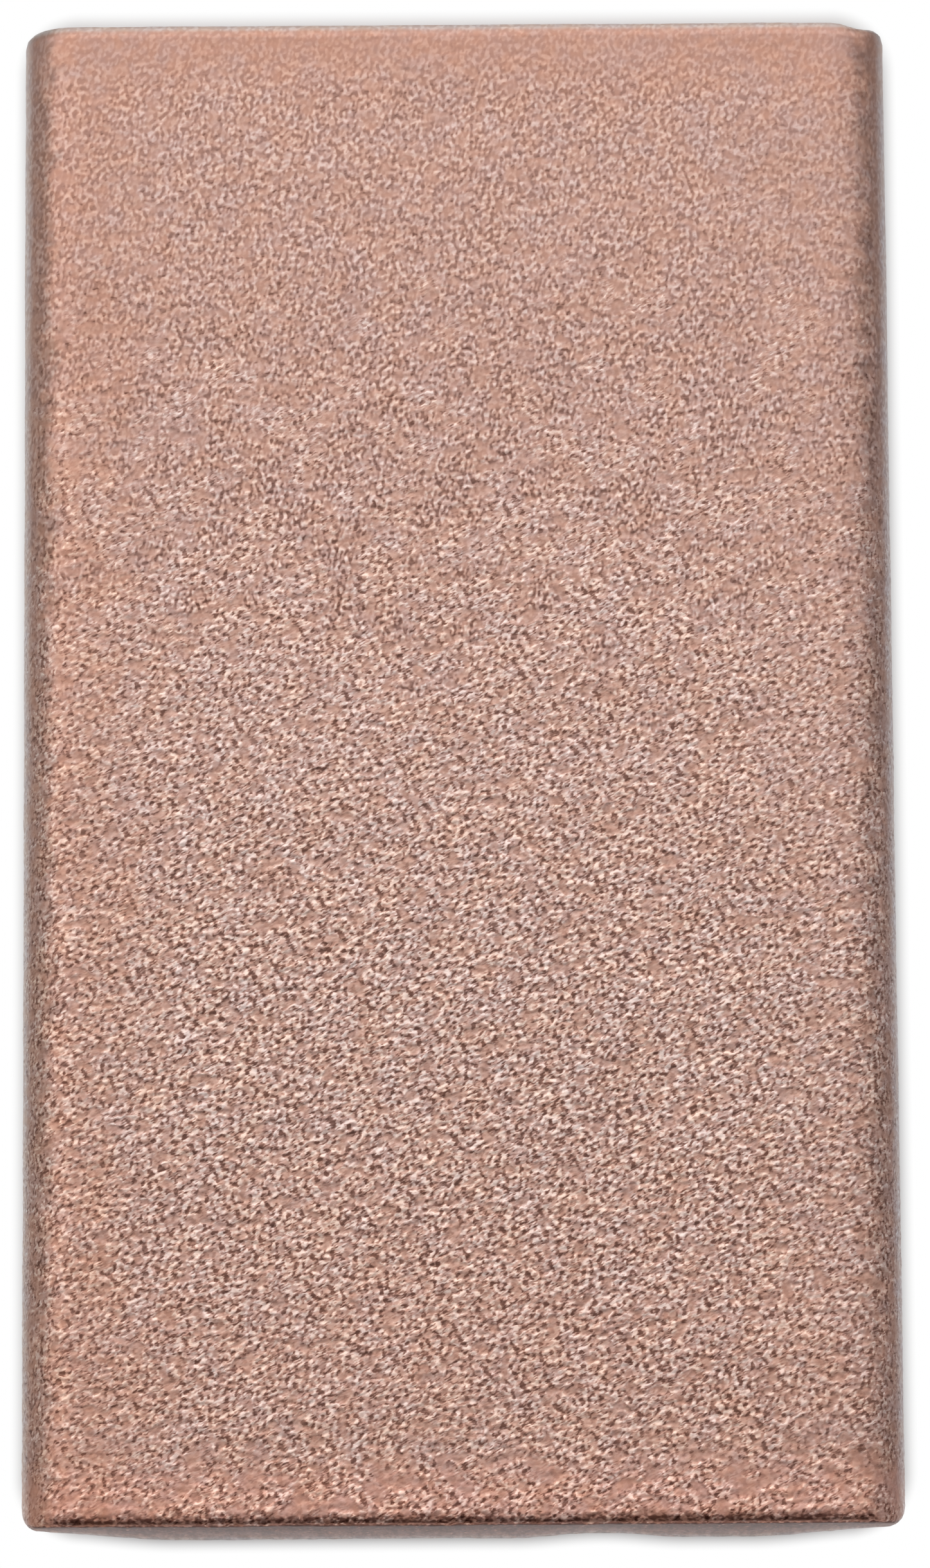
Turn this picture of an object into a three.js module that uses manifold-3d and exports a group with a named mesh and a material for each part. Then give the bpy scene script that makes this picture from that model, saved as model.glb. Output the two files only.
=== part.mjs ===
// A flat copper ingot, formed as one solid bar. Its long edges are rounded over nearly into a bullnose,
// and its two ends are cut square. The far end is eased by a broad lip, the near end by a crisper one,
// and the two upright corners of the near end are worn round.
//
// Frame, in millimetres: X runs across the bar, Y along it towards the far end, and Z up. The origin is
// the middle of the underside, on which the ingot lies.

import * as THREE from "three";
import { mergeVertices, toCreasedNormals } from "three/addons/utils/BufferGeometryUtils.js";
import Module from "manifold-3d";

// Driving dimensions
const WIDTH = 50.8; // across the rounded long edges
const LENGTH = 88.9; // from one end face to the other
const THICKNESS = 7.2; // from the underside to the top face
const SIDE_FLAT = 0.8; // height of the flat left on each side, between its two roundings
const FAR_LIP_RADIUS = 0.8; // easing all round the far end
const NEAR_LIP_RADIUS = 0.4; // easing all round the near end
const NEAR_CORNER_RADIUS = 1; // rounding of the near end's upright corners, seen from above

// Facets across each rounding, and the angle up to which they are shaded as one smooth surface
const EDGE_FACETS = 12;
const LIP_FACETS = 6;
const CORNER_FACETS = 12;
const CREASE_ANGLE = THREE.MathUtils.degToRad(30);

const COPPER_FINISH = { color: 0xbe9a8e, roughness: 0.5, metalness: 0.9 };

const QUARTER_TURN = Math.PI / 2;
const MERGE_DISTANCE = 1e-5;

// The four long edges take up what the side flat leaves of the thickness.
const edgeRadius = (THICKNESS - SIDE_FLAT) / 2;

const manifold = await Module();
manifold.setup();

// A closed three.js geometry as a solid that can be cut and joined.
function solidOf(geometry) {
  geometry.deleteAttribute("normal");
  geometry.deleteAttribute("uv");
  const merged = mergeVertices(geometry, MERGE_DISTANCE);
  const mesh = new manifold.Mesh({
    numProp: 3,
    vertProperties: merged.attributes.position.array,
    triVerts: new Uint32Array(merged.index.array),
  });
  return new manifold.Manifold(mesh);
}

function geometryOf(solid) {
  const mesh = solid.getMesh();
  const geometry = new THREE.BufferGeometry();
  geometry.setAttribute("position", new THREE.BufferAttribute(mesh.vertProperties, 3));
  geometry.setIndex(new THREE.BufferAttribute(mesh.triVerts, 1));
  return toCreasedNormals(geometry, CREASE_ANGLE);
}

// The bar's cross-section: a rectangle with four rounded corners, standing on the X axis.
function barSection() {
  const arcX = WIDTH / 2 - edgeRadius;
  const lowArcY = edgeRadius;
  const highArcY = THICKNESS - edgeRadius;
  const section = new THREE.Shape();
  section.absarc(arcX, lowArcY, edgeRadius, -QUARTER_TURN, 0);
  section.absarc(arcX, highArcY, edgeRadius, 0, QUARTER_TURN);
  section.absarc(-arcX, highArcY, edgeRadius, QUARTER_TURN, 2 * QUARTER_TURN);
  section.absarc(-arcX, lowArcY, edgeRadius, 2 * QUARTER_TURN, 3 * QUARTER_TURN);
  section.closePath();
  return section;
}

// The far half of the bar: the section drawn out along Y. The bevel is the lip, a quarter round that
// turns inward from the section's outline to the flat cut face; the one at the near end is cut off.
function farHalf() {
  const straightLength = LENGTH - 2 * FAR_LIP_RADIUS;
  const bar = new THREE.ExtrudeGeometry(barSection(), {
    depth: straightLength,
    steps: 1,
    curveSegments: EDGE_FACETS / 2, // an arc gets two facets for each segment
    bevelEnabled: true,
    bevelThickness: FAR_LIP_RADIUS,
    bevelSize: FAR_LIP_RADIUS,
    bevelOffset: -FAR_LIP_RADIUS,
    bevelSegments: LIP_FACETS,
  });
  bar.translate(0, 0, -straightLength / 2);
  bar.rotateX(QUARTER_TURN);
  const block = new THREE.BoxGeometry(2 * WIDTH, LENGTH, 4 * THICKNESS);
  block.translate(0, LENGTH / 2, 0);
  return solidOf(bar).intersect(solidOf(block));
}

// A block that ends where the near end does. It rounds that end's two upright corners, and its bevel is
// the lip along the rims of the end face.
function nearBlock() {
  const side = WIDTH / 2;
  const arcX = side - NEAR_CORNER_RADIUS;
  const arcY = NEAR_CORNER_RADIUS - LENGTH / 2;
  const outline = new THREE.Shape();
  outline.moveTo(side, LENGTH);
  outline.lineTo(-side, LENGTH);
  outline.absarc(-arcX, arcY, NEAR_CORNER_RADIUS, 2 * QUARTER_TURN, 3 * QUARTER_TURN);
  outline.absarc(arcX, arcY, NEAR_CORNER_RADIUS, 3 * QUARTER_TURN, 4 * QUARTER_TURN);
  outline.closePath();
  const block = new THREE.ExtrudeGeometry(outline, {
    depth: THICKNESS - 2 * NEAR_LIP_RADIUS,
    steps: 1,
    curveSegments: CORNER_FACETS / 2,
    bevelEnabled: true,
    bevelThickness: NEAR_LIP_RADIUS,
    bevelSize: NEAR_LIP_RADIUS,
    bevelOffset: -NEAR_LIP_RADIUS,
    bevelSegments: LIP_FACETS,
  });
  block.translate(0, 0, NEAR_LIP_RADIUS);
  return solidOf(block);
}

// The near half of the bar: the section drawn out past the near end and cut to the block there.
function nearHalf() {
  const bar = new THREE.ExtrudeGeometry(barSection(), {
    depth: LENGTH,
    steps: 1,
    curveSegments: EDGE_FACETS / 2,
    bevelEnabled: false,
  });
  bar.rotateX(QUARTER_TURN);
  return solidOf(bar).intersect(nearBlock());
}

// The ingot: its two halves, joined in the middle.
function ingotGeometry() {
  return geometryOf(farHalf().add(nearHalf()));
}

function copperIngot() {
  const ingot = new THREE.Mesh(
    ingotGeometry(),
    new THREE.MeshStandardMaterial(COPPER_FINISH),
  );
  ingot.name = "ingot";
  return ingot;
}

const part = new THREE.Group();
part.add(copperIngot());

export default part;
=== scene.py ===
import math
from types import SimpleNamespace

import bmesh
import bpy
from mathutils import Matrix, Vector, noise

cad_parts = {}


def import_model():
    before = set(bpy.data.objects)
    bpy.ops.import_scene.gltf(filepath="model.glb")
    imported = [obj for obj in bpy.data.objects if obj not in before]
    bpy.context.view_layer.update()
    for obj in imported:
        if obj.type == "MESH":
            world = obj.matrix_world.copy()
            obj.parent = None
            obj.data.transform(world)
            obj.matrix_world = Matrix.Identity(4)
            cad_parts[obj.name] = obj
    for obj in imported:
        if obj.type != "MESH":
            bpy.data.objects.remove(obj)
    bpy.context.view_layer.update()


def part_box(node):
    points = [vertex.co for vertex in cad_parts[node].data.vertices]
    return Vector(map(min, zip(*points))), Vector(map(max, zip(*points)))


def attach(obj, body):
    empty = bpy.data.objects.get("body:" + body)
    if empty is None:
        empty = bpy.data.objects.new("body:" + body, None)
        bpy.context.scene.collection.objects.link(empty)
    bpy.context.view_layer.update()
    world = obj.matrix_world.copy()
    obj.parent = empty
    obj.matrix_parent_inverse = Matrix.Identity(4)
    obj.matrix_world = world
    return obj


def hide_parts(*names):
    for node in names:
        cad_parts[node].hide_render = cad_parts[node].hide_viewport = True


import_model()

MM = 0.001

# The ingot's own sizes in metres, taken from the frame where it holds them
INGOT_LOW, INGOT_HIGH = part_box("ingot")
WIDTH = INGOT_HIGH.x - INGOT_LOW.x
LENGTH = INGOT_HIGH.y - INGOT_LOW.y
THICKNESS = INGOT_HIGH.z - INGOT_LOW.z
EDGE_RADIUS = 3.2 * MM  # rounding of the long edges
FAR_LIP = 0.8 * MM  # easing round the far end
NEAR_LIP = 0.4 * MM  # easing round the near end
NEAR_CORNER = 1.0 * MM  # rounding of the near end's upright corners
NEAR_CORNER_REACH = 2.5 * MM  # how far from the end the rows are drawn back to round them

# Wear and small damage
FOOT_WEAR = 0.50 * MM  # how far the near end's lower rim is worn back at its corners
FOOT_WEAR_SPAN = (16.5 * MM, 24.5 * MM)  # from the middle, over which it wears back
FOOT_WEAR_REACH = 3.5 * MM  # how far from the end the wear is felt
FOOT_DENT = 0.30 * MM  # depth of a shallow hollow in that rim
FOOT_DENT_MIDDLE = 7.9 * MM  # to the right of the ingot's middle
FOOT_DENT_REACH = 5.0 * MM  # to either side
FAR_NICK = 0.28 * MM  # depth of a shallow nick in the far end, close to its right corner
FAR_NICK_ASIDE = 1.65 * MM  # from the right side
FAR_NICK_REACH = 1.5 * MM  # to either side
FAR_NICK_LENGTH = 3.0 * MM  # how far from the end the nick is felt

# How finely the skin is cut, so that the grain is in the mesh
TOP_COLUMNS = 130
UNDERSIDE_COLUMNS = 14
EDGE_SEGMENTS = 8
SIDE_FLAT_COLUMNS = 2
LIP_SEGMENTS = 3
ROWS = 510
NEAR_FACE_ROWS = 12
SAME_PLACE = 1e-7  # metres, within which two points count as level with each other
CUT_TOLERANCE = 1e-6  # metres, within which a point counts as lying on a cut

# Camera, in metres and degrees: it looks down on the top face from a little towards the near end
CAMERA_DISTANCE = 0.529
CAMERA_TILT = 11.21  # from straight down
CAMERA_ROLL = -0.369
CAMERA_ASIDE = 0.00036
CAMERA_TOWARDS_NEAR = 0.00137
SENSOR_MM = 36.0
LENS_MM = 209.8
CLIP_START = 0.01


# ---------------------------------------------------------------- small helpers


def new_object(name, bm):
    """A finished mesh object at the origin, shaded smooth."""
    mesh = bpy.data.meshes.new(name)
    bm.to_mesh(mesh)
    bm.free()
    for polygon in mesh.polygons:
        polygon.use_smooth = True
    obj = bpy.data.objects.new(name, mesh)
    bpy.context.scene.collection.objects.link(obj)
    return obj


# ---------------------------------------------------------------- the ingot's form


def bar_section(bm):
    """The rounded cross-section as one upright face at the near end."""
    half, high = WIDTH / 2, THICKNESS
    near = INGOT_LOW.y
    corners = [(-half, near, 0), (half, near, 0), (half, near, high), (-half, near, high)]
    face = bm.faces.new([bm.verts.new(c) for c in corners])
    bmesh.ops.bevel(
        bm,
        geom=list(face.verts),
        offset=EDGE_RADIUS,
        segments=EDGE_SEGMENTS,
        profile=0.5,
        affect="VERTICES",
        material=-1,
    )


def cut_columns(bm):
    """Cuts the section's flats into columns: many across the top face, few across the rest."""
    bm.edges.ensure_lookup_table()
    least_flat = 0.5 * MM
    for edge in list(bm.edges):
        a, b = (v.co for v in edge.verts)
        across, up = abs(a.x - b.x), abs(a.z - b.z)
        if across > WIDTH / 2:
            columns = TOP_COLUMNS if a.z > THICKNESS / 2 else UNDERSIDE_COLUMNS
        elif up > least_flat and across < SAME_PLACE:
            columns = SIDE_FLAT_COLUMNS
        else:
            continue
        bmesh.ops.subdivide_edges(bm, edges=[edge], cuts=columns - 1)


def draw_out(bm):
    """Draws the section out into the whole bar."""
    made = bmesh.ops.extrude_face_region(bm, geom=list(bm.faces))
    moved = [v for v in made["geom"] if isinstance(v, bmesh.types.BMVert)]
    bmesh.ops.translate(bm, verts=moved, vec=(0, LENGTH, 0))
    bmesh.ops.recalc_face_normals(bm, faces=bm.faces)


def ease_end(bm, end_y, radius):
    """Rounds the rim of one end into its lip."""
    rim = [e for e in bm.edges if all(abs(v.co.y - end_y) < SAME_PLACE for v in e.verts)]
    bmesh.ops.bevel(
        bm,
        geom=rim,
        offset=radius,
        segments=LIP_SEGMENTS,
        profile=0.5,
        affect="EDGES",
        material=-1,
    )


def cut_rows(bm):
    """Cuts the bar's length into rows."""
    along = [e for e in bm.edges if abs(e.verts[0].co.y - e.verts[1].co.y) > LENGTH / 2]
    bmesh.ops.subdivide_edges(bm, edges=along, cuts=ROWS - 1, use_grid_fill=True)


def grid_near_face(bm):
    """Cuts the near end face into a grid, so that it takes the grain too."""
    columns = {round(v.co.x, 6) for v in bm.verts if v.co.z > THICKNESS - CUT_TOLERANCE}
    levels = [THICKNESS * i / NEAR_FACE_ROWS for i in range(1, NEAR_FACE_ROWS)]
    cuts = [((x, 0, 0), (1, 0, 0)) for x in sorted(columns)]
    cuts += [((0, 0, z), (0, 0, 1)) for z in levels]
    for place, direction in cuts:
        faces = [f for f in bm.faces if all(v.co.y < INGOT_LOW.y + SAME_PLACE for v in f.verts)]
        parts = {part for f in faces for part in (f, *f.edges, *f.verts)}
        bmesh.ops.bisect_plane(
            bm, geom=list(parts), dist=CUT_TOLERANCE, plane_co=place, plane_no=direction
        )


def round_near_corners(bm):
    """Draws back the rows at the near end's two upright corners into a quarter round."""
    for v in bm.verts:
        inset = max(0, NEAR_CORNER - (WIDTH / 2 - abs(v.co.x)))
        from_end = v.co.y - INGOT_LOW.y
        if inset and from_end < NEAR_CORNER_REACH:
            set_back = NEAR_CORNER - math.sqrt(max(0, NEAR_CORNER**2 - inset**2))
            v.co.y += set_back * (1 - from_end / NEAR_CORNER_REACH)


def smooth_share(value, start, end):
    """Goes smoothly from 0 to 1 as the value goes from start to end."""
    t = min(1, max(0, (value - start) / (end - start)))
    return t * t * (3 - 2 * t)


def wear_near_foot(bm):
    """Draws back the near end's lower rim towards its two corners, and in its one hollow."""
    for v in bm.verts:
        from_end = v.co.y - INGOT_LOW.y
        if from_end < FOOT_WEAR_REACH:
            worn = FOOT_WEAR * smooth_share(abs(v.co.x), *FOOT_WEAR_SPAN)
            worn += FOOT_DENT * smooth_share(abs(v.co.x - FOOT_DENT_MIDDLE), FOOT_DENT_REACH, 0)
            low = 1 - v.co.z / THICKNESS
            v.co.y += worn * low * (1 - from_end / FOOT_WEAR_REACH)


def nick_far_end(bm):
    """Draws back the far end close to its right corner."""
    middle = WIDTH / 2 - FAR_NICK_ASIDE
    for v in bm.verts:
        from_end = INGOT_HIGH.y - v.co.y
        if from_end < FAR_NICK_LENGTH:
            share = smooth_share(abs(v.co.x - middle), FAR_NICK_REACH, 0)
            v.co.y -= FAR_NICK * share * (1 - from_end / FAR_NICK_LENGTH)


def plain_bar():
    """The whole bar with its lips, corners and wear, before the grain."""
    bm = bmesh.new()
    bar_section(bm)
    cut_columns(bm)
    draw_out(bm)
    ease_end(bm, INGOT_HIGH.y, FAR_LIP)
    ease_end(bm, INGOT_LOW.y, NEAR_LIP)
    grid_near_face(bm)
    cut_rows(bm)
    round_near_corners(bm)
    wear_near_foot(bm)
    nick_far_end(bm)
    bmesh.ops.triangulate(bm, faces=[f for f in bm.faces if len(f.verts) > 4])
    return bm


# ---------------------------------------------------------------- the grain in the mesh

GRAIN_LONG = 0.62 * MM  # a grain's length, along its lean
GRAIN_SHORT = 0.36 * MM
GRAIN_LEAN = math.radians(18)  # from across the bar towards the far end
GRAIN_DEPTH = 0.075 * MM
FINE_GRAINS = 2.1  # finer grains to one of those
FINE_GRAIN_DEPTH = 0.5  # as a share of the coarse grain's
FINE_GRAIN_SHIFT = Vector((7.3, 1.9, 4.2))  # so that the two don't fall together
WAVE_LENGTH = 4.0 * MM
WAVE_DEPTH = 0.05 * MM
FAR_SOFTNESS = 0.45  # share of the grain's depth that is left at the far end
DEEPENING = 1.6  # how fast the depth grows towards the near end, in shares of the length


def in_grains(p):
    """A point in the grain's own directions, in grain lengths."""
    c, s = math.cos(GRAIN_LEAN), math.sin(GRAIN_LEAN)
    along = (p.x * c + p.y * s) / GRAIN_LONG
    across = (p.y * c - p.x * s) / GRAIN_SHORT
    return Vector((along, across, p.z / GRAIN_SHORT))


def grain_share(p):
    """How deep the grain is at a point: it grows from the far end to the near one."""
    towards_near = (INGOT_HIGH.y - p.y) / LENGTH
    return FAR_SOFTNESS + (1 - FAR_SOFTNESS) * min(1, DEEPENING * towards_near)


def relief(p):
    """Depth of the surface below the plain bar at a point."""
    q = in_grains(p)
    coarse = noise.noise(q)
    fine = noise.noise(q * FINE_GRAINS + FINE_GRAIN_SHIFT)
    grain = 0.5 - 0.5 * (coarse + FINE_GRAIN_DEPTH * fine)
    wave = 0.5 + 0.5 * noise.noise(p / WAVE_LENGTH)
    return GRAIN_DEPTH * grain_share(p) * max(0, grain) + WAVE_DEPTH * max(0, wave)


def roughen(bm):
    """Sinks each point of the skin below the plain bar by the relief there."""
    bm.normal_update()
    moved = [(v, v.co - v.normal * relief(v.co)) for v in bm.verts]
    for v, place in moved:
        v.co = place


# ---------------------------------------------------------------- nodes

WHITE = (1, 1, 1, 1)


def add_node(tree, kind, inputs=(), **settings):
    """Adds a node. Each input given is linked if it is a socket, and set if it is a value."""
    node = tree.nodes.new("ShaderNode" + kind)
    for name, value in settings.items():
        setattr(node, name, value)
    given = inputs.items() if isinstance(inputs, dict) else enumerate(inputs)
    for key, value in given:
        if isinstance(value, bpy.types.NodeSocket):
            tree.links.new(value, node.inputs[key])
        else:
            node.inputs[key].default_value = value
    return node


def maths(tree, operation, *values, clamp=False):
    return add_node(tree, "Math", values, operation=operation, use_clamp=clamp).outputs[0]


def vectors(tree, operation, *values):
    node = add_node(tree, "VectorMath", values, operation=operation)
    return node.outputs["Value" if operation in ("DOT_PRODUCT", "LENGTH") else "Vector"]


def ramp(tree, value, start, end, low=0.0, high=1.0):
    """Goes smoothly from low to high as the value goes from start to end."""
    node = add_node(
        tree,
        "MapRange",
        {"Value": value, "From Min": start, "From Max": end, "To Min": low, "To Max": high},
        interpolation_type="SMOOTHSTEP",
    )
    return node.outputs["Result"]


def mix_colours(tree, factor, a, b):
    """A colour that goes from a to b as the factor goes from 0 to 1."""
    node = add_node(tree, "Mix", data_type="RGBA", inputs={0: factor, 6: a, 7: b})
    return node.outputs[2]


def new_group(name, inputs, outputs):
    """An empty node group with the named sockets; gives the tree, its inputs and its output node."""
    tree = bpy.data.node_groups.new(name, "ShaderNodeTree")
    for socket, kind in inputs.items():
        tree.interface.new_socket(name=socket, in_out="INPUT", socket_type="NodeSocket" + kind)
    for socket, kind in outputs.items():
        tree.interface.new_socket(name=socket, in_out="OUTPUT", socket_type="NodeSocket" + kind)
    return tree, tree.nodes.new("NodeGroupInput").outputs, tree.nodes.new("NodeGroupOutput").inputs


def use_group(tree, group, inputs):
    return add_node(tree, "Group", inputs, node_tree=group).outputs


def material(name):
    mat = bpy.data.materials.new(name)
    mat.use_nodes = True
    mat.node_tree.nodes.clear()
    return mat, mat.node_tree


def scaled_by(tree, vector, factor):
    """A vector or a colour times a number."""
    inputs = {"Vector": vector, "Scale": factor}
    return add_node(tree, "VectorMath", inputs, operation="SCALE").outputs["Vector"]


def blend(tree, factor, a, b):
    """A value that goes from a to b as the factor goes from 0 to 1."""
    node = add_node(tree, "Mix", data_type="FLOAT", inputs={0: factor, 2: a, 3: b})
    return node.outputs[0]


def multiplied(tree, first, *others):
    """The product of several values."""
    product = first
    for other in others:
        product = maths(tree, "MULTIPLY", product, other)
    return product


def lessened(tree, mask, loss):
    """1, less the loss where the mask is 1."""
    return maths(tree, "MULTIPLY_ADD", mask, -loss, 1.0)


def perlin(tree, position, scale=1.0, detail=0.0, roughness=0.5):
    """Soft noise from 0 to 1, as a value and as a colour."""
    inputs = {"Vector": position, "Scale": scale, "Detail": detail, "Roughness": roughness}
    return add_node(tree, "TexNoise", inputs).outputs


def about_zero(tree, position, scale, detail=1.0, roughness=0.5):
    """Soft noise from -0.5 to 0.5."""
    return maths(tree, "SUBTRACT", perlin(tree, position, scale, detail, roughness)[0], 0.5)


def tinted(tree, mask, colour, tint):
    """The colour, multiplied by the tint where the mask is 1."""
    share = mix_colours(tree, mask, WHITE, tint)
    return vectors(tree, "MULTIPLY", colour, share)


def seen_directly(tree):
    """1 for the rays that show the white background: from the camera, and in gloss and glass."""
    rays = add_node(tree, "LightPath").outputs
    seen = maths(tree, "ADD", rays["Is Camera Ray"], rays["Is Glossy Ray"])
    return maths(tree, "ADD", seen, rays["Is Transmission Ray"], clamp=True)


# ---------------------------------------------------------------- the cast grain's pattern, with its painted highlights and shade

# Sizes and heights are in mm, and each size is along the lean and across it. Leans are from across the
# bar towards the far end. A pair named EDGE is where in a noise from 0 to 1 its marks begin and are full.

# The near end's chips: small flakes, with one flank in painted shade and the other with a painted highlight
CHIP_SIZE = (0.350, 0.152)
CHIP_RAGGEDNESS = 0.25  # share of a finer noise in their outlines
CHIP_LEAN = math.radians(30)
CHIP_EDGE = (0.40, 0.54)
FALL_STEP = (-0.02, 0.06, 0.0)  # over which the ground's fall is taken, to either side
SHADED_FALL = (-0.03, -0.34)  # the fall at which a flank's painted shade begins, and is full
LIT_FALL = (0.08, 0.26)  # the fall at which a flank's painted highlight begins, and is full
LIT_TONE = 0.36  # how much that painted highlight adds to its chip

# The far end's chips: larger and softer
FAR_CHIP_SIZE = (0.33, 0.23)
FAR_CHIP_LEAN = math.radians(75)
FAR_CHIP_EDGE = (0.34, 0.64)

# Where the two kinds meet, in patches
PATCH_SCALE = 0.5  # to the mm
NEAR_PATCHES = (1.04, 1.24)  # strength and noise together, from which a patch is of the near kind

# Small slits in painted shade, and the ripples that all of it lies on
SLIT_SIZE = (0.36, 0.13)
SLIT_LEAN = math.radians(14)
SLIT_EDGE = (0.56, 0.74)
RIPPLE_SIZE = (0.36, 0.26)
RIPPLE_LEAN = math.radians(24)
CHIP_HEIGHT = 0.004
RIPPLE_HEIGHT = 0.038

# What varies over larger distances
WARP = 0.05  # how far the chips' outlines wander, in mm
WARP_SCALE = 4.0  # to the mm
CALM_SCALE = 1.1  # calm places to the mm
CALM_EDGE = (0.53, 0.70)
CALM_SHARE = 0.62  # how much of the grain is gone there
CALM_WARMTH = 0.5  # how much warmer those places are
HUE_SCALE = 0.6  # warmer and cooler places to the mm
HUE_EDGE = (0.3, 0.7)
CHIP_VARIETY = ((0.35, 0.60), (0.55, 1.0))  # its edge, and the faintest and fullest chip
SLIT_VARIETY = ((0.40, 0.62), (0.1, 1.0))

# The tone of the chips and of the ground between them
CHIP_MEAN = 0.36  # what the chips' own tone comes to where they are gone
GROUND_DEPTH = 0.59  # how far the ground's tone lies below the chips', as a share of their own
FAR_STRENGTH = 0.25  # share of the grain's height and of its slits left at the far end
FULL_CONTRAST_STRENGTH = 0.85  # the strength from which the chips have their full tone
FAR_CONTRAST = 0.75  # share of the chips' own tone left at the far end
FAR_DULLING = 0.035  # how much darker all of it is there


def leaning(tree, position, lean, sizes):
    """A position turned by a lean and measured in sizes along it and across it."""
    turned = add_node(
        tree,
        "VectorRotate",
        {"Vector": position, "Axis": (0, 0, 1), "Angle": -lean},
        rotation_type="AXIS_ANGLE",
    ).outputs[0]
    along, across = sizes
    return vectors(tree, "DIVIDE", turned, (along, across, across))


def wandering(tree, position):
    """A position shifted a little this way and that."""
    shift = vectors(tree, "SUBTRACT", perlin(tree, position, WARP_SCALE)["Color"], (0.5, 0.5, 0.5))
    return vectors(tree, "ADD", position, scaled_by(tree, shift, 2 * WARP))


def level_and_fall(tree, place):
    """The near end's rough ground: how high it is, and how steeply it falls towards the far end."""
    sides = [vectors(tree, way, place, FALL_STEP) for way in ("SUBTRACT", "ADD")]
    heights = [
        perlin(tree, leaning(tree, side, CHIP_LEAN, CHIP_SIZE), detail=1.0, roughness=CHIP_RAGGEDNESS)[0]
        for side in sides
    ]
    level = maths(tree, "MULTIPLY", maths(tree, "ADD", *heights), 0.5)
    return level, maths(tree, "SUBTRACT", *heights)


def near_kind_patches(tree, position, strength):
    """1 where the chips are of the near kind and 0 where they are of the far kind."""
    patches = maths(tree, "ADD", strength, perlin(tree, position, PATCH_SCALE)[0])
    return ramp(tree, patches, *NEAR_PATCHES)


def raised_chips(tree, place, level, fall, near_kind):
    """How far a point is raised as part of a chip, with the painted highlight on its flanks that fall
    towards the far end, and the lamp, added.
    """
    near_chips = ramp(tree, level, *CHIP_EDGE)
    far_noise = perlin(tree, leaning(tree, place, FAR_CHIP_LEAN, FAR_CHIP_SIZE))[0]
    far_chips = ramp(tree, far_noise, *FAR_CHIP_EDGE)
    raised = blend(tree, near_kind, far_chips, near_chips)
    lit = multiplied(tree, ramp(tree, fall, *LIT_FALL), near_kind)
    return maths(tree, "MULTIPLY_ADD", lit, LIT_TONE, raised)


def painted_slit_shade(tree, place, fall, near_kind):
    """1 where shade is painted: on the near kind's chips' flanks that face away from the lamp, and in the
    small slits everywhere.
    """
    slit_noise = perlin(tree, leaning(tree, place, SLIT_LEAN, SLIT_SIZE))[0]
    flanks = multiplied(tree, ramp(tree, fall, *SHADED_FALL), near_kind)
    return maths(tree, "MAXIMUM", flanks, ramp(tree, slit_noise, *SLIT_EDGE))


def chip_tones(tree, raised, variety, rough, strength):
    """The chips' own tone. It keeps its mean where they are gone, and is fainter at the far end."""
    edge, faint_to_full = CHIP_VARIETY
    tone = multiplied(tree, raised, ramp(tree, variety, *edge, *faint_to_full))
    tone = multiplied(tree, maths(tree, "SUBTRACT", tone, CHIP_MEAN), rough)
    tone = maths(tree, "ADD", tone, CHIP_MEAN - GROUND_DEPTH)
    contrast = ramp(tree, strength, FAR_STRENGTH, FULL_CONTRAST_STRENGTH, FAR_CONTRAST, 1.0)
    dulling = ramp(tree, strength, FAR_STRENGTH, 1.0, -FAR_DULLING, 0.0)
    return maths(tree, "MULTIPLY_ADD", tone, contrast, dulling)


def slit_tones(tree, slits, variety, depth):
    """How dark the slits' painted shade is: it varies from one slit to the next, and goes with the grain's
    depth.
    """
    edge, faint_to_full = SLIT_VARIETY
    tone = multiplied(tree, slits, ramp(tree, variety, *edge, *faint_to_full))
    return multiplied(tree, tone, depth)


def grain_group():
    """The cast grain. Position is in mm, Strength is 1 where it is deepest and Share 0 where it is gone."""
    tree, given, out = new_group(
        "cast_grain",
        {"Position": "Vector", "Strength": "Float", "Share": "Float"},
        {"Height": "Float", "Chips": "Float", "Slits": "Float", "Warmth": "Float"},
    )
    position, strength = given["Position"], given["Strength"]
    calm_noise = perlin(tree, position, CALM_SCALE, detail=1.0)[0]
    calm = ramp(tree, calm_noise, *CALM_EDGE, 0.0, CALM_SHARE)
    rough = multiplied(tree, maths(tree, "SUBTRACT", 1.0, calm), given["Share"])
    depth = multiplied(tree, strength, rough)

    place = wandering(tree, position)
    level, fall = level_and_fall(tree, place)
    near_kind = near_kind_patches(tree, position, strength)
    raised = raised_chips(tree, place, level, fall, near_kind)
    slits = painted_slit_shade(tree, place, fall, near_kind)

    ripples = perlin(tree, leaning(tree, position, RIPPLE_LEAN, RIPPLE_SIZE))
    height = multiplied(tree, raised, CHIP_HEIGHT)
    height = maths(tree, "MULTIPLY_ADD", ripples[0], RIPPLE_HEIGHT, height)
    tree.links.new(multiplied(tree, height, depth), out["Height"])

    _, chip_variety, slit_variety = add_node(tree, "SeparateColor", [ripples[1]]).outputs
    tree.links.new(chip_tones(tree, raised, chip_variety, rough, strength), out["Chips"])
    tree.links.new(slit_tones(tree, slits, slit_variety, depth), out["Slits"])

    hue = perlin(tree, position, HUE_SCALE, detail=2.0, roughness=0.8)[0]
    warmth = maths(tree, "MULTIPLY_ADD", calm, CALM_WARMTH, ramp(tree, hue, *HUE_EDGE))
    tree.links.new(warmth, out["Warmth"])
    return tree


# ---------------------------------------------------------------- the copper's colours

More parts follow.
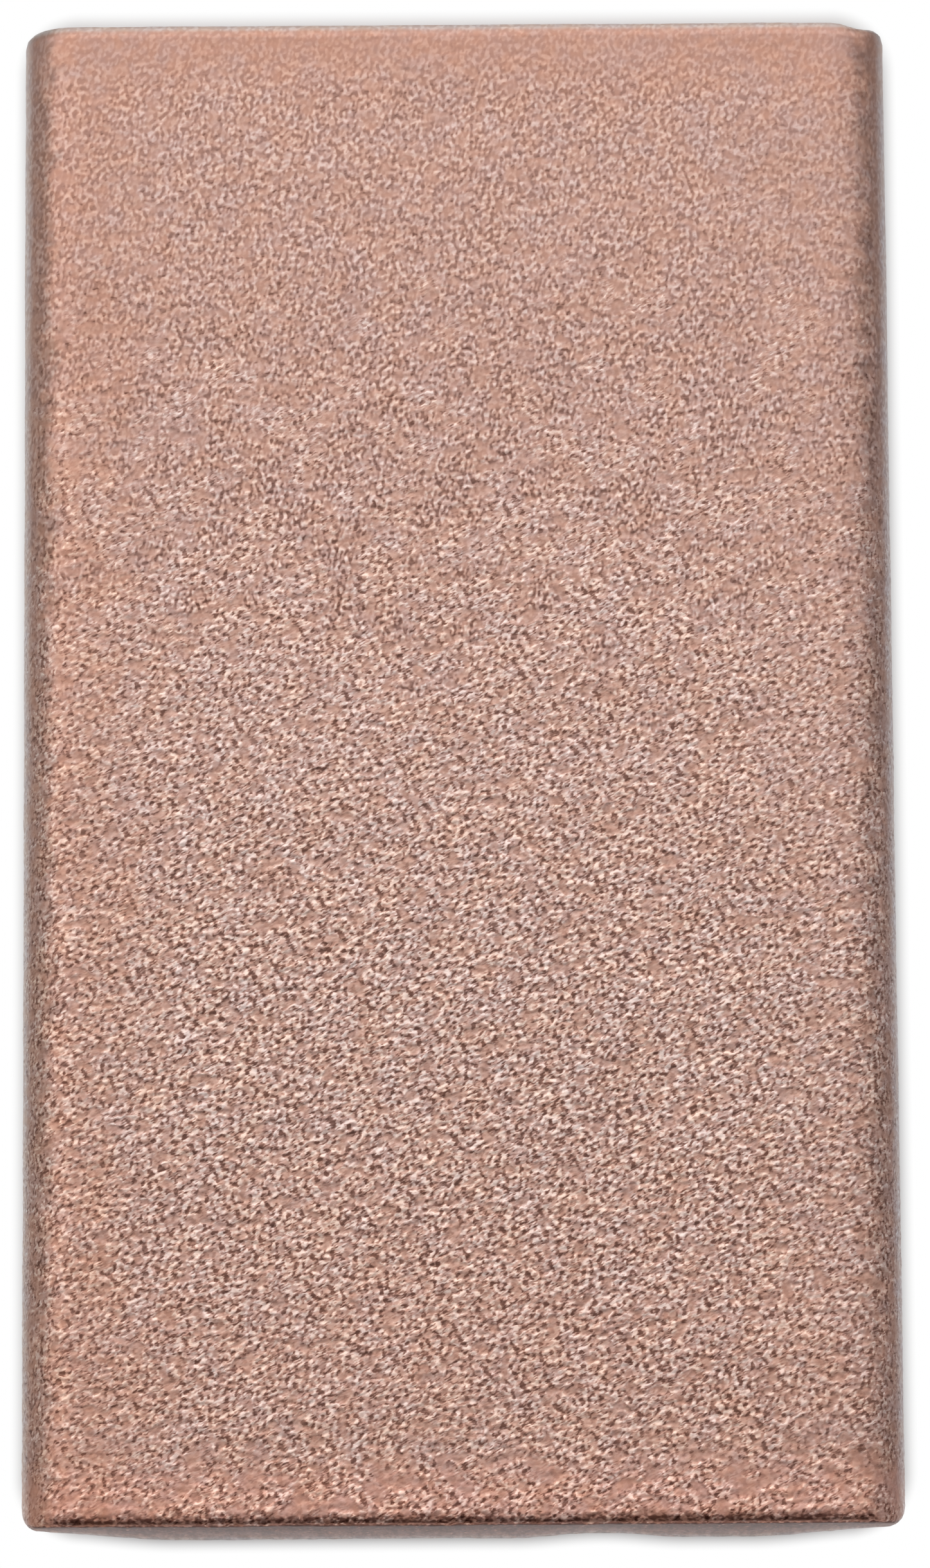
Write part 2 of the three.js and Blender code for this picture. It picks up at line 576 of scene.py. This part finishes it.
# The darkest colour is the slits' painted shade; the palest is both the worn chips' tone and the painted
# highlight on flanks facing the lamp.
SLIT_SHADE_COPPER = (0.17, 0.083, 0.064, 1)
LOW_COPPER = (0.43, 0.255, 0.208, 1)
PLAIN_COPPER = (0.525, 0.342, 0.290, 1)
WORN_AND_LIT_COPPER = (0.80, 0.635, 0.565, 1)
COOL_TINT = (0.982, 1.016, 1.062, 1)
WARM_TINT = (1.035, 0.995, 0.94, 1)
PALEST = (0.97, 0.97, 0.97)  # no tint makes the copper paler than this

# The tones over which one of those colours goes into the next
SLIT_TO_LOW = (-0.9, -0.35)
LOW_TO_PLAIN = (-0.4, 0.05)
PLAIN_TO_WORN = (0.0, 0.75)


def tones_group():
    """The copper's colour. Tone is -1 in the slits' painted shade, 0 plain and 1 on worn chips and painted
    highlights; Warmth is from 0 to 1.
    """
    tree, given, out = new_group(
        "copper_tones", {"Tone": "Float", "Warmth": "Float"}, {"Color": "Color"}
    )
    tone = given["Tone"]
    colour = mix_colours(tree, ramp(tree, tone, *SLIT_TO_LOW), SLIT_SHADE_COPPER, LOW_COPPER)
    colour = mix_colours(tree, ramp(tree, tone, *LOW_TO_PLAIN), colour, PLAIN_COPPER)
    colour = mix_colours(tree, ramp(tree, tone, *PLAIN_TO_WORN), colour, WORN_AND_LIT_COPPER)
    tint = mix_colours(tree, given["Warmth"], COOL_TINT, WARM_TINT)
    tree.links.new(vectors(tree, "MULTIPLY", colour, tint), out["Color"])
    return tree


# ---------------------------------------------------------------- the worn edges, with their painted shade and reflections

# A pair is a distance in mm at which a change begins and one at which it is full. A tint multiplies the
# copper's colour. A share is what is left of the grain.

ACROSS_MIDDLE = (1.0, -1.0)  # mm from the middle, over which one side or end goes over into the other

# The whole top face
NEAR_TONES = (28.0, 8.0)  # from the near end
NEAR_TONE = (1.03, 0.995, 0.975, 1)
NEAR_WARMS = (5.0, 1.5)  # from the near end
NEAR_WARMTH = (1.12, 1.035, 1.0, 1)
LEFT_WARMS = (9.0, 2.5)  # from the left side
FAR_WARMS = (7.0, 0.6)  # from the far end
EDGE_WARMTH = (1.01, 0.955, 0.91, 1)
WARM_WANDER_SCALE = 0.28  # to the mm
WARM_WANDER = 14.0  # mm

# The side rims: painted shade from where the top face ends, deeper on the right, away from the lamp, and a
# painted pale reflection of the white floor at the outermost
RIM_DARKENS = (2.15, 0.72)  # from the side
RIM_WANDER_SCALE = 0.75  # to the mm
RIM_WANDER = 2.8  # mm
LEFT_RIM_REACH = 0.33  # how much further in the left rim darkens
LEFT_RIM_SHADE = (0.63, 0.66, 0.67, 1)
RIGHT_RIM_SHADE = (0.55, 0.55, 0.56, 1)
RIM_PALES = (0.68, 0.12)  # from the side
RIM_PALE_HEIGHT = (0.8, 3.0)  # above the underside
# Painted reflection of the white floor on the outermost rim
RIM_PALE = (1.48, 2.02, 2.35, 1)

# The far lip: painted shade where it begins, toning down the light it catches from the lamp, and a painted
# pale reflection where it turns down
FAR_LIP_DIMS = (0.92, 0.60)  # from the far end
FAR_LIP_RAG_SCALE = 2.2  # to the mm
FAR_LIP_RAGS = 0.5  # mm
FAR_LIP_SHADE = (0.88, 0.92, 0.93, 1)
FAR_LIP_PALES = (0.63, 0.33)  # from the far end
FAR_LIP_TURN = (1.0, 0.95)  # how squarely the lip faces the far end: 1 is the end face, which isn't pale
FAR_LIP_PALE = (1.24, 1.62, 1.83, 1)

# The near lip: a line of painted shade that breaks up into spots
NEAR_LIP_BAND = (0.95, 0.45)  # from the near end
NEAR_LIP_ENDS = (0.30, 0.05)  # from the near end, over which it fades again
NEAR_LIP_END_SHARE = 0.35
NEAR_LIP_HEIGHT = (0.8, 0.3)  # below the top face
NEAR_LIP_SPOT_SCALE = (3.0, 4.6, 4.6)  # to the mm
NEAR_LIP_SPOT_EDGE = (0.36, 0.60)
NEAR_LIP_GAPS = 0.35  # how dark it still is between the spots
NEAR_LIP_SHADE = (0.22, 0.17, 0.165, 1)

# The near end face, in painted shade and reflection: dark under the rim, and paler and greyer towards the
# foot
NEAR_FACE_TURN = (-0.60, -0.95)  # how squarely it faces the far end: below 0 it faces the near one
NEAR_FACE_RAG_SCALE = 3.6  # to the mm
NEAR_FACE_RAGS = 0.9
NEAR_FACE_TOP = (0.17, 0.094, 0.078, 1)
NEAR_FACE_FOOT = (0.62, 0.68, 0.74, 1)
NEAR_TOP_PALES = (0.38, 0.15)  # below the top face
NEAR_TOP_PALE = (2.5, 3.6, 4.1, 1)
NEAR_FOOT_PALES = (2.4, 0.3)  # above the underside
NEAR_FOOT_PALE = (1.50, 1.90, 2.05, 1)
SPECKLE_SCALE = (2.8, 1.0, 0.45)  # to the mm: its marks are drawn out up and down the face
SPECKLE_EDGE = (0.35, 0.65)
SPECKLE_TONES = (0.80, 1.20)

# How much of the grain is left where
RIM_SMOOTHS, RIM_SHARE = (1.2, 0.2), 0.60  # from the side
SIDE_SETTLES, SIDE_SHARE = (11.0, 3.5), 0.84  # from the side
FAR_LIP_SMOOTHS, FAR_LIP_SHARE = (5.0, 0.3), 0.4  # from the far end
NEAR_ROUGHENS, NEAR_SHARE = (44.0, 30.0), 1.10  # from the near end
NEAR_EASES, NEAR_END_SHARE = (16.0, 8.0), 0.94  # from the near end
FAR_CORNER_SETTLES = (20.0, 8.0)  # from the far end
RIGHT_CORNER_SETTLES = (6.0, 18.0)  # to the right of the middle
FAR_RIGHT_LOSS = 0.08
NEAR_FACE_LOSS = 0.75
SETTLED_SCALE = 0.75  # smooth patches to the mm
SETTLED_EDGE = (0.48, 0.66)
NEAR_SETTLES = (7.0, 2.5)  # from the near end, over which they come in
SETTLED_LOSS = 0.65


def places_on_bar(tree, position):
    """How far a point lies from the bar's sides, ends, top and underside, in mm."""
    aside, along, up = add_node(tree, "SeparateXYZ", [position]).outputs
    return SimpleNamespace(
        aside=aside,
        from_left=maths(tree, "ADD", aside, WIDTH / MM / 2),
        from_side=maths(tree, "SUBTRACT", WIDTH / MM / 2, maths(tree, "ABSOLUTE", aside)),
        from_far=maths(tree, "SUBTRACT", INGOT_HIGH.y / MM, along),
        from_near=maths(tree, "SUBTRACT", along, INGOT_LOW.y / MM),
        from_top=maths(tree, "SUBTRACT", THICKNESS / MM, up),
        up=up,
    )


def near_face_mask(tree, position, towards_far):
    """1 on the near end face, with a ragged border."""
    ragged = about_zero(tree, position, NEAR_FACE_RAG_SCALE)
    turn = maths(tree, "MULTIPLY_ADD", ragged, NEAR_FACE_RAGS, towards_far)
    return ramp(tree, turn, *NEAR_FACE_TURN)


def near_lip_mask(tree, position, at, near_face):
    """1 in the line of painted shade along the near rim, and less between its spots."""
    spot_noise = perlin(tree, vectors(tree, "MULTIPLY", position, NEAR_LIP_SPOT_SCALE), detail=1.0)[0]
    spots = ramp(tree, spot_noise, *NEAR_LIP_SPOT_EDGE)
    return multiplied(
        tree,
        ramp(tree, at.from_near, *NEAR_LIP_BAND),
        ramp(tree, at.from_top, *NEAR_LIP_HEIGHT),
        ramp(tree, at.from_near, *NEAR_LIP_ENDS, 1.0, NEAR_LIP_END_SHARE),
        lessened(tree, near_face, 1.0),
        maths(tree, "MULTIPLY_ADD", spots, 1 - NEAR_LIP_GAPS, NEAR_LIP_GAPS),
    )


def warm_places(tree, position, at):
    """1 in the warmer places along the left side and the far end, whose borders wander widely."""
    wander = about_zero(tree, position, WARM_WANDER_SCALE)
    far = maths(tree, "MULTIPLY_ADD", wander, WARM_WANDER, at.from_far)
    left = maths(tree, "MULTIPLY_ADD", wander, WARM_WANDER, at.from_left)
    return maths(tree, "MAXIMUM", ramp(tree, left, *LEFT_WARMS), ramp(tree, far, *FAR_WARMS))


def top_face_tint(tree, position, at):
    """The tint of the whole top face, towards its edges."""
    tint = mix_colours(tree, warm_places(tree, position, at), WHITE, EDGE_WARMTH)
    tint = tinted(tree, ramp(tree, at.from_near, *NEAR_TONES), tint, NEAR_TONE)
    return tinted(tree, ramp(tree, at.from_near, *NEAR_WARMS), tint, NEAR_WARMTH)


def side_rim_tint(tree, position, at, tint):
    """The tint with the side rims' painted shade and the painted pale reflection on their outermost part
    laid over it.
    """
    on_left = ramp(tree, at.aside, *ACROSS_MIDDLE)
    wander = about_zero(tree, position, RIM_WANDER_SCALE, detail=2.0, roughness=0.7)
    inward = maths(tree, "MULTIPLY_ADD", wander, RIM_WANDER, at.from_side)
    inward = maths(tree, "MULTIPLY_ADD", on_left, -LEFT_RIM_REACH, inward)
    shade = mix_colours(tree, on_left, RIGHT_RIM_SHADE, LEFT_RIM_SHADE)
    tint = tinted(tree, ramp(tree, inward, *RIM_DARKENS), tint, shade)
    outermost = ramp(tree, at.from_side, *RIM_PALES)
    pale = multiplied(tree, outermost, ramp(tree, at.up, *RIM_PALE_HEIGHT))
    return tinted(tree, pale, tint, RIM_PALE), outermost


def far_lip_tint(tree, position, at, towards_far, outermost, tint):
    """The tint with the far lip's painted shade and painted pale reflection laid over it, where the side
    rims' outermost part isn't.
    """
    ragged = about_zero(tree, position, FAR_LIP_RAG_SCALE)
    inward = maths(tree, "MULTIPLY_ADD", ragged, FAR_LIP_RAGS, at.from_far)
    tint = tinted(tree, ramp(tree, inward, *FAR_LIP_DIMS), tint, FAR_LIP_SHADE)
    lip = ramp(tree, at.from_far, *FAR_LIP_PALES)
    pale = maths(tree, "SUBTRACT", lip, outermost, clamp=True)
    pale = multiplied(tree, pale, ramp(tree, towards_far, *FAR_LIP_TURN))
    return tinted(tree, pale, tint, FAR_LIP_PALE)


def near_face_tint(tree, position, at):
    """The near end face's painted shade and reflection, with its speckle."""
    downwards = ramp(tree, at.up, THICKNESS / MM, 0.0)
    tint = mix_colours(tree, downwards, NEAR_FACE_TOP, NEAR_FACE_FOOT)
    tint = tinted(tree, ramp(tree, at.from_top, *NEAR_TOP_PALES), tint, NEAR_TOP_PALE)
    tint = tinted(tree, ramp(tree, at.up, *NEAR_FOOT_PALES), tint, NEAR_FOOT_PALE)
    marks = vectors(tree, "MULTIPLY", position, SPECKLE_SCALE)
    speckle = perlin(tree, marks, detail=2.0, roughness=0.7)[0]
    return scaled_by(tree, tint, ramp(tree, speckle, *SPECKLE_EDGE, *SPECKLE_TONES))


def grain_left(tree, position, at, near_face):
    """How much of the grain is left by wear at each place."""
    far_right = multiplied(
        tree,
        ramp(tree, at.from_far, *FAR_CORNER_SETTLES),
        ramp(tree, at.aside, *RIGHT_CORNER_SETTLES),
    )
    settled_noise = perlin(tree, position, SETTLED_SCALE, detail=1.0)[0]
    settled = multiplied(
        tree,
        ramp(tree, settled_noise, *SETTLED_EDGE),
        ramp(tree, at.from_near, *NEAR_SETTLES),
    )
    return multiplied(
        tree,
        ramp(tree, at.from_side, *RIM_SMOOTHS, 1.0, RIM_SHARE),
        ramp(tree, at.from_side, *SIDE_SETTLES, 1.0, SIDE_SHARE),
        ramp(tree, at.from_near, *NEAR_ROUGHENS, 1.0, NEAR_SHARE),
        ramp(tree, at.from_near, *NEAR_EASES, 1.0, NEAR_END_SHARE),
        ramp(tree, at.from_far, *FAR_LIP_SMOOTHS, 1.0, FAR_LIP_SHARE),
        lessened(tree, far_right, FAR_RIGHT_LOSS),
        lessened(tree, near_face, NEAR_FACE_LOSS),
        lessened(tree, settled, SETTLED_LOSS),
    )


def edge_wear_and_shade_group():
    """The tint of the ingot's edges, with its painted shade and reflections, and how much grain is left
    there. Position is in mm.
    """
    tree, given, out = new_group(
        "edge_wear_and_shade", {"Position": "Vector", "Normal": "Vector"}, {"Tint": "Color", "Grain": "Float"}
    )
    position = given["Position"]
    at = places_on_bar(tree, position)
    towards_far = add_node(tree, "SeparateXYZ", [given["Normal"]]).outputs["Y"]
    near_face = near_face_mask(tree, position, towards_far)
    tint = top_face_tint(tree, position, at)
    tint, outermost = side_rim_tint(tree, position, at, tint)
    tint = far_lip_tint(tree, position, at, towards_far, outermost, tint)
    tint = tinted(tree, near_lip_mask(tree, position, at, near_face), tint, NEAR_LIP_SHADE)
    tint = mix_colours(tree, near_face, tint, near_face_tint(tree, position, at))
    tree.links.new(tint, out["Tint"])
    tree.links.new(grain_left(tree, position, at, near_face), out["Grain"])
    return tree


# ---------------------------------------------------------------- the copper

GRAIN_DEEPENS_TO = -10.0  # mm along from the middle: from there to the near end it is at its deepest
LAMP_WAY = (-0.26, 0.97, 0.0)  # the way towards the lamp: the grain's flanks that face it are painted lighter, and those that face away darker
CHIP_TONE = 1.25  # how much paler the chips are than the ground between them
SLIT_TONE = 0.57  # how much darker the painted shade makes the slits and the flanks beside the chips
COPPER_ROUGHNESS = 0.5


def own_direction(tree, normal):
    """A world normal in the ingot's own directions."""
    node = add_node(
        tree,
        "VectorTransform",
        [normal],
        vector_type="VECTOR",
        convert_from="WORLD",
        convert_to="OBJECT",
    )
    return node.outputs[0]


def painted_flank_light(tree, normal, smooth):
    """Painted light and shade: how much more a point faces the lamp's way than the smooth surface there
    does.
    """
    lift = own_direction(tree, vectors(tree, "SUBTRACT", normal, smooth))
    return vectors(tree, "DOT_PRODUCT", lift, LAMP_WAY)


def place_in_mm(tree):
    """A point's own place on its object, in mm."""
    return scaled_by(tree, add_node(tree, "TexCoord").outputs["Object"], 1 / MM)


def copper():
    """Satin copper with the cast grain, worn at its edges, with painted highlights, shade and reflections
    in its colour.
    """
    mat, tree = material("grained_copper")
    place = place_in_mm(tree)
    smooth = add_node(tree, "NewGeometry").outputs["Normal"]
    edges = use_group(
        tree, edge_wear_and_shade_group(), {"Position": place, "Normal": own_direction(tree, smooth)}
    )
    along = add_node(tree, "SeparateXYZ", [place]).outputs["Y"]
    strength = ramp(tree, along, INGOT_HIGH.y / MM, GRAIN_DEEPENS_TO, FAR_STRENGTH, 1.0)
    grain = use_group(
        tree, grain_group(), {"Position": place, "Strength": strength, "Share": edges["Grain"]}
    )
    bump = add_node(tree, "Bump", {"Strength": 1.0, "Distance": MM, "Height": grain["Height"]})
    normal = bump.outputs[0]
    # Painted light and shade: the grain's flanks that face the lamp are made paler, and those facing away
    # darker, on top of the chips' tone
    tone = maths(tree, "MULTIPLY_ADD", grain["Chips"], CHIP_TONE, painted_flank_light(tree, normal, smooth))
    # Painted shade in the slits and on the chips' flanks that face away from the lamp
    tone = maths(tree, "MULTIPLY_ADD", grain["Slits"], -SLIT_TONE, tone)
    colour = use_group(tree, tones_group(), {"Tone": tone, "Warmth": grain["Warmth"]})["Color"]
    colour = vectors(tree, "MULTIPLY", colour, edges["Tint"])
    colour = vectors(tree, "MINIMUM", colour, PALEST)
    shader = add_node(
        tree,
        "BsdfPrincipled",
        {"Base Color": colour, "Metallic": 1.0, "Roughness": COPPER_ROUGHNESS, "Normal": normal},
    )
    add_node(tree, "OutputMaterial", {"Surface": shader.outputs[0]})
    return mat


# ---------------------------------------------------------------- the white floor

SHADOW_BAND = (-0.55, 1.0)  # mm past the painted shadow's outline, over which the floor clears from it
SHADOW_PAST = {"left": -0.12, "right": 0.0, "near": -0.22, "far": 1.80}  # its outline past the ingot's
SHADOW_CORNER = 3.0  # mm, rounding of its corners
SHADOW_WEAR = 0.6  # mm further in where the near foot is worn back
SHADOW_DENT = 0.3  # mm further in at that foot's hollow
# Grey paint, which shows only inside the painted shadow's outline, and takes the real shadow there
FLOOR_PAINT = (0.62, 0.62, 0.62, 1)


def drawn_in_at_foot(tree, place, aside):
    """How far the painted shadow's near outline is drawn in, where the ingot's own foot is."""
    own_x, own_y, _ = add_node(tree, "SeparateXYZ", [place]).outputs
    worn = ramp(tree, aside, *(x / MM for x in FOOT_WEAR_SPAN), 0.0, SHADOW_WEAR)
    from_dent = maths(tree, "ABSOLUTE", maths(tree, "SUBTRACT", own_x, FOOT_DENT_MIDDLE / MM))
    dent = ramp(tree, from_dent, FOOT_DENT_REACH / MM, 0.0, 0.0, SHADOW_DENT)
    return multiplied(tree, ramp(tree, own_y, *ACROSS_MIDDLE), maths(tree, "ADD", worn, dent))


def past_painted_shadow(tree, place):
    """How far a point of the floor lies past the painted shadow's rounded outline, in mm."""
    left, right, near, far = SHADOW_PAST.values()
    centred = vectors(tree, "SUBTRACT", place, ((right - left) / 2, (far - near) / 2, 0))
    aside, along, _ = add_node(tree, "SeparateXYZ", [vectors(tree, "ABSOLUTE", centred)]).outputs
    half_width = (WIDTH / MM + left + right) / 2 - SHADOW_CORNER
    half_length = (LENGTH / MM + near + far) / 2 - SHADOW_CORNER
    along = maths(tree, "ADD", along, drawn_in_at_foot(tree, place, aside))
    past_side = maths(tree, "MAXIMUM", maths(tree, "SUBTRACT", aside, half_width), 0.0)
    past_end = maths(tree, "MAXIMUM", maths(tree, "SUBTRACT", along, half_length), 0.0)
    past = vectors(tree, "LENGTH", add_node(tree, "CombineXYZ", [past_side, past_end]).outputs[0])
    return maths(tree, "SUBTRACT", past, SHADOW_CORNER)


def white_floor():
    """A white floor that shows as plain white but for a shadow painted close round the ingot: inside an
    outline drawn round it the grey paint shows, with the real shadow on it.
    """
    mat, tree = material("white_floor")
    clear = ramp(tree, past_painted_shadow(tree, place_in_mm(tree)), *SHADOW_BAND)
    factor = multiplied(tree, seen_directly(tree), clear)
    paint = add_node(tree, "BsdfDiffuse", {"Color": FLOOR_PAINT})
    white = add_node(tree, "Emission", {"Color": WHITE, "Strength": 1.0})
    shader = add_node(tree, "MixShader", {0: factor, 1: paint.outputs[0], 2: white.outputs[0]})
    add_node(tree, "OutputMaterial", {"Surface": shader.outputs[0]})
    return mat


# ---------------------------------------------------------------- the ingot


def ingot():
    bm = plain_bar()
    roughen(bm)
    obj = new_object("grained_ingot", bm)
    obj.data.materials.append(copper())
    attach(obj, "root")
    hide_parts("ingot")
    return obj


# ---------------------------------------------------------------- floor, light and camera

FLOOR_HALF_SIZE = 4.0
FLOOR_DROP = 0.02 * MM  # below the ingot's underside, so that the two don't share a plane


def floor():
    bm = bmesh.new()
    bmesh.ops.create_grid(bm, x_segments=1, y_segments=1, size=FLOOR_HALF_SIZE)
    bmesh.ops.translate(bm, verts=bm.verts, vec=(0, 0, -FLOOR_DROP))
    obj = new_object("floor", bm)
    obj.data.materials.append(white_floor())


def softbox(name, tilt, aside, distance, size_x, size_y, radiance):
    """A soft lamp tilted from overhead towards the far end, and aside to the left, in degrees."""
    lamp = bpy.data.lights.new(name, "AREA")
    lamp.shape = "RECTANGLE"
    lamp.size = size_x
    lamp.size_y = size_y
    lamp.energy = radiance * math.pi * size_x * size_y
    obj = bpy.data.objects.new(name, lamp)
    turn = Matrix.Rotation(math.radians(aside), 4, "Z") @ Matrix.Rotation(-math.radians(tilt), 4, "X")
    obj.matrix_world = turn @ Matrix.Translation((0, 0, distance))
    bpy.context.scene.collection.objects.link(obj)


WORLD_LEVEL = 0.25
HORIZON_BAND = (0.42, 0.20)  # how high the white backdrop reaches, as the height of a direction


def world(level):
    """Even light from all round, and a white backdrop behind the floor where it is seen."""
    w = bpy.data.worlds.new("studio")
    bpy.context.scene.world = w
    w.use_nodes = True
    tree = w.node_tree
    direction = add_node(tree, "TexCoord").outputs["Generated"]
    height = add_node(tree, "SeparateXYZ", [direction]).outputs["Z"]
    backdrop = maths(tree, "MULTIPLY", seen_directly(tree), ramp(tree, height, *HORIZON_BAND))
    strength = maths(tree, "MULTIPLY_ADD", backdrop, 1.0 - level, level)
    background = tree.nodes["Background"]
    background.inputs["Color"].default_value = WHITE
    tree.links.new(strength, background.inputs["Strength"])


def camera():
    tilt = math.radians(CAMERA_TILT)
    data = bpy.data.cameras.new("camera")
    data.sensor_width = SENSOR_MM
    data.lens = LENS_MM
    data.clip_start = CLIP_START
    obj = bpy.data.objects.new("camera", data)
    turn = Matrix.Rotation(tilt, 4, "X") @ Matrix.Rotation(math.radians(CAMERA_ROLL), 4, "Z")
    back = Matrix.Rotation(tilt, 4, "X") @ Vector((0, 0, CAMERA_DISTANCE))
    aim = Vector((CAMERA_ASIDE, -CAMERA_TOWARDS_NEAR, THICKNESS))
    obj.matrix_world = Matrix.Translation(aim + back) @ turn
    bpy.context.scene.collection.objects.link(obj)
    bpy.context.scene.camera = obj


def studio():
    bpy.context.scene.view_settings.view_transform = "Standard"
    floor()
    softbox("far_side", tilt=40, aside=10, distance=1.5, size_x=5.0, size_y=1.8, radiance=1.7)
    world(WORLD_LEVEL)
    camera()


ingot()
studio()
